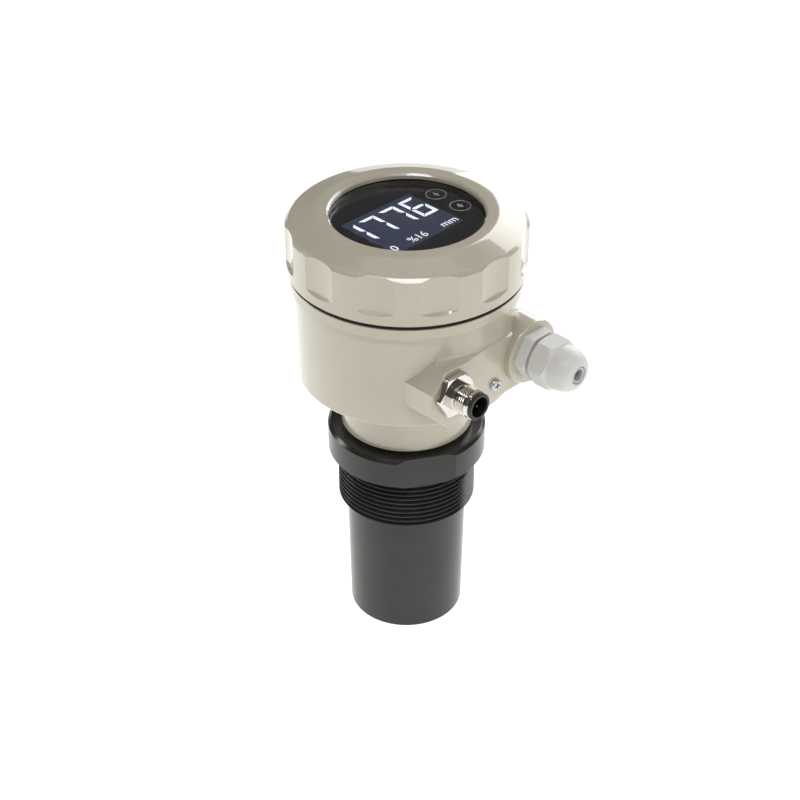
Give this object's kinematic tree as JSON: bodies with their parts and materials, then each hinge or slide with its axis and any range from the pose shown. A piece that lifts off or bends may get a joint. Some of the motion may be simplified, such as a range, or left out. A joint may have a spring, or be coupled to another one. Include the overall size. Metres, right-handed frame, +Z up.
{
  "type": "ultrasonic level transmitter",
  "caption": "Screw-in ultrasonic level sensor with a round cast head, a scalloped window cover over a display, a round plug connector, a cable gland and a threaded transducer.",
  "frame": {"origin": "centre of the transducer's measuring face", "axes": "+Z up along the transducer axis to the window, -Y the way the plug connector and the cable gland look, +X to the right of the display's text"},
  "size_m": [0.0988, 0.1249, 0.1985],
  "materials": {
    "beige_paint": "glossy powder coat on cast aluminium",
    "black_polymer": "turned black engineering plastic, semi-matte",
    "face_polymer": "moulded acoustic matching layer, matte",
    "piezo_ceramic": "fired piezo ceramic with silvered faces",
    "dark_resin": "cast filled resin, matte",
    "grey_cable": "extruded cable jacket, matte",
    "white_nylon": "moulded natural nylon",
    "black_rubber": "moulded nitrile rubber",
    "grey_rubber": "moulded light grey rubber",
    "nickel_plate": "bright nickel plate on turned brass",
    "black_nylon": "moulded glass-filled nylon",
    "gold_plate": "gold plate on brass",
    "grey_nylon": "moulded light grey nylon, satin",
    "steel": "zinc plated steel",
    "window_glass": "clear toughened glass",
    "bare_aluminium": "turned aluminium",
    "board_laminate": "solder-masked circuit board laminate",
    "green_nylon": "moulded green nylon",
    "black_gloss": "gloss black film overlay on moulded plastic",
    "screen_glass": "negative liquid crystal cell with backlight"
  },
  "bodies": {
    "transmitter": {"housing": "beige_paint", "sensor_body": "black_polymer", "matching_layer": "face_polymer", "piezo_disc": "piezo_ceramic", "backing_pad": "dark_resin", "potting": "dark_resin", "sensor_lead": "grey_cable", "lead_plug": "white_nylon", "neck_seal": "black_rubber", "plug_seal": "black_rubber", "gland_gasket": "black_rubber", "cover_seal": "black_rubber", "plug_shell": "nickel_plate", "plug_insert": "black_nylon", "plug_pins": "gold_plate", "gland_body": "grey_nylon", "ground_screw": "steel", "main_board": "board_laminate", "display_board": "board_laminate", "board_screws": "steel", "display_screws": "steel", "terminal_screws": "steel", "standoffs": "nickel_plate", "terminal_block": "green_nylon", "display_bezel": "black_gloss", "lcd_module": "screen_glass", "key_switches": "black_nylon"},
    "window": {"window_glass": "window_glass", "window_gasket": "black_rubber"},
    "cover": {"cover": "beige_paint", "retaining_ring": "bare_aluminium"},
    "gland_seal": {"gland_seal": "grey_rubber"},
    "gland_nut": {"gland_nut": "grey_nylon"},
    "key_up": {"key_up": "black_gloss"},
    "key_down": {"key_down": "black_gloss"}
  },
  "joints": [
    {"name": "cover_lift", "type": "slide", "parent": "transmitter", "child": "window", "axis": [0, 0, 1], "range_m": [0, 0.01]},
    {"name": "cover_turn", "type": "hinge", "parent": "window", "child": "cover", "pos_m": [0, 0, 0.185], "axis": [0, 0, 1], "range_deg": [0, 1800]},
    {"name": "gland_lift", "type": "slide", "parent": "transmitter", "child": "gland_seal", "axis": [0, -1, 0], "range_m": [0, 0.006]},
    {"name": "gland_turn", "type": "hinge", "parent": "gland_seal", "child": "gland_nut", "pos_m": [0.0223, -0.065, 0.1438], "axis": [0, -1, 0], "range_deg": [0, 1440]},
    {"name": "key_up_press", "type": "slide", "parent": "transmitter", "child": "key_up", "axis": [0, 0, -1], "range_m": [0, 0.0005], "stiffness_N_per_m": 1500},
    {"name": "key_down_press", "type": "slide", "parent": "transmitter", "child": "key_down", "axis": [0, 0, -1], "range_m": [0, 0.0005], "stiffness_N_per_m": 1500}
  ],
  "couplings": [
    {"joint": "cover_lift", "follows": "cover_turn", "m_per_rad": 0.0003183},
    {"joint": "gland_turn", "follows": "gland_lift", "rad_per_m": 4188.7}
  ]
}
